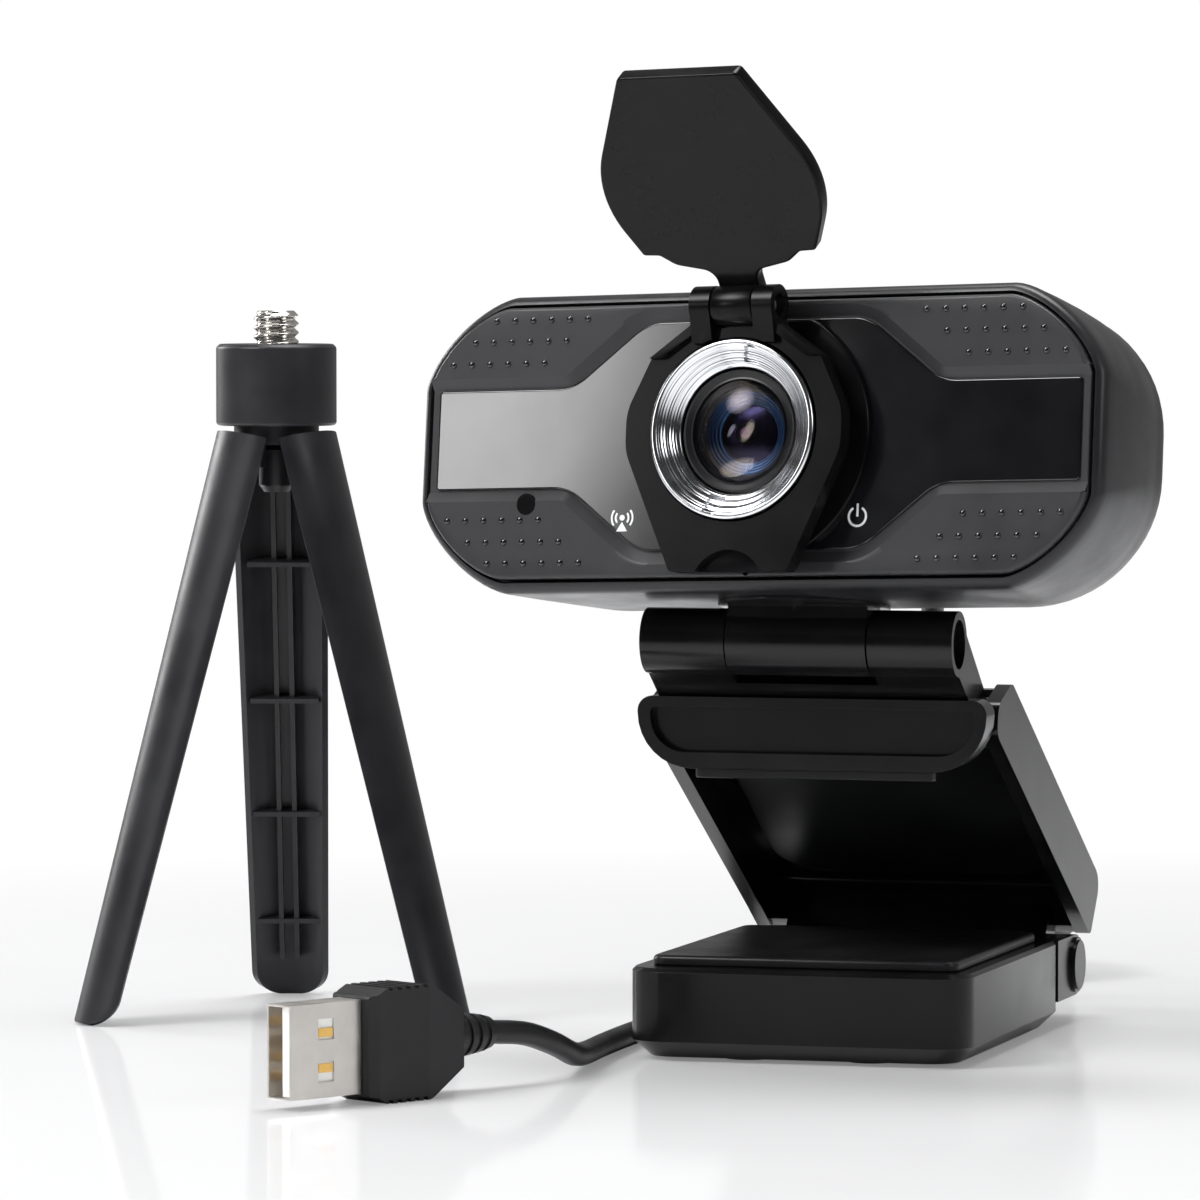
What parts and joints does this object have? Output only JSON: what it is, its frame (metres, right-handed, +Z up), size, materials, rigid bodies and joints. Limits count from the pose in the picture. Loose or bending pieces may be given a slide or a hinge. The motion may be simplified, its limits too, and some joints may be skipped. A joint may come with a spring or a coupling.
{
  "type": "webcam with tripod",
  "caption": "Wide webcam with a flip-up lens cover on a folding monitor clip stand, with its coiled lead and plug and a small folding tripod beside it.",
  "frame": {"origin": "mouth of the tripod socket in the middle of the foot's underside", "axes": "+X to the object's right as it is faced, +Y to the back, +Z up"},
  "size_m": [0.16, 0.2176, 0.1321],
  "materials": {
    "shell_plastic": "fine grained satin black",
    "housing_plastic": "fine grained satin charcoal",
    "gloss_black": "piano gloss black",
    "cover_plastic": "smooth semi-gloss black",
    "icon_white": "printed white",
    "soft_pad": "satin soft pad",
    "rubber": "matte moulded rubber",
    "ring_metal": "fine turned silver",
    "lens_black": "satin black",
    "lens_glass": "coated optical glass",
    "steel": "plain steel",
    "brass": "turned brass",
    "screw_metal": "bright machined",
    "tripod_plastic": "satin moulded black",
    "board_green": "solder-mask green",
    "cord_black": "smooth black jacket",
    "boot_black": "satin moulded black",
    "plug_steel": "stamped plated shell",
    "plug_white": "white moulded"
  },
  "bodies": {
    "base": {"foot_shell": "shell_plastic", "foot_cover": "shell_plastic", "foot_ballast": "steel", "socket_nut": "brass", "foot_screws": "steel", "rubber_feet": "rubber", "foot_pad": "soft_pad", "foot_hinge_pin": "steel", "cord_drop": "cord_black", "cord_coil": "cord_black", "cord_run": "cord_black", "plug_boot": "boot_black", "plug_shell": "plug_steel", "plug_insert": "plug_white", "plug_contacts": "brass"},
    "arm": {"arm_shell": "shell_plastic", "arm_panel": "shell_plastic", "clip_hinge_pin": "steel"},
    "clip": {"clip_body": "shell_plastic", "clip_pad": "soft_pad", "tilt_pin": "steel"},
    "neck": {"tilt_knuckle": "shell_plastic", "swivel_screw": "steel", "swivel_washer": "steel"},
    "head": {"rear_housing": "housing_plastic", "front_bezel": "housing_plastic", "gloss_panel": "gloss_black", "panel_icons": "icon_white", "lens_ring": "ring_metal", "lens_barrel": "lens_black", "lens_glass": "lens_glass", "lens_holder": "lens_black", "sensor_board": "board_green", "main_board": "board_green", "microphone": "board_green", "housing_screws": "steel", "strain_relief": "rubber", "cover_frame": "cover_plastic", "cover_pin": "steel"},
    "cover": {"flip_cover": "cover_plastic"},
    "tripod": {"tripod_screw": "screw_metal", "tripod_head": "tripod_plastic", "tripod_hub": "tripod_plastic", "leg_pins": "steel"},
    "leg_left": {"tripod_leg_left": "tripod_plastic"},
    "leg_right": {"tripod_leg_right": "tripod_plastic"},
    "leg_rear": {"tripod_leg_rear": "tripod_plastic"}
  },
  "joints": [
    {"name": "foot_hinge", "type": "hinge", "parent": "base", "child": "arm", "pos_m": [0, 0.037, 0.0076], "axis": [1, 0, 0], "range_deg": [-70, 20], "deforming": ["cord_drop"]},
    {"name": "clip_hinge", "type": "hinge", "parent": "arm", "child": "clip", "pos_m": [0, -0.00835, 0.04429], "axis": [1, 0, 0], "range_deg": [-20, 40], "deforming": ["cord_drop"]},
    {"name": "head_tilt", "type": "hinge", "parent": "clip", "child": "neck", "pos_m": [0, -0.0243, 0.0556], "axis": [1, 0, 0], "range_deg": [-12, 20], "deforming": ["cord_drop"]},
    {"name": "head_swivel", "type": "hinge", "parent": "neck", "child": "head", "pos_m": [0, -0.0228, 0.06549], "axis": [0, 0.1495, 0.9888], "range_deg": [-60, 85], "deforming": ["cord_drop"]},
    {"name": "cover_hinge", "type": "hinge", "parent": "head", "child": "cover", "pos_m": [-0.00453, -0.04023, 0.10039], "axis": [0.9803, -0.1954, 0.0296], "range_deg": [-35, 140]},
    {"name": "tripod_lift", "type": "slide", "parent": "base", "child": "tripod", "axis": [0, 0, 1], "range_m": [0, 0.1]},
    {"name": "leg_left_fold", "type": "hinge", "parent": "tripod", "child": "leg_left", "pos_m": [-0.09182, 0.01418, 0.0786], "axis": [0.7071, -0.7071, 0], "range_deg": [0, 16]},
    {"name": "leg_right_fold", "type": "hinge", "parent": "tripod", "child": "leg_right", "pos_m": [-0.08278, 0.0166, 0.0786], "axis": [0.2588, 0.9659, 0], "range_deg": [0, 16]},
    {"name": "leg_rear_fold", "type": "hinge", "parent": "tripod", "child": "leg_rear", "pos_m": [-0.0894, 0.02322, 0.0786], "axis": [-0.9659, -0.2588, 0], "range_deg": [0, 16]}
  ]
}
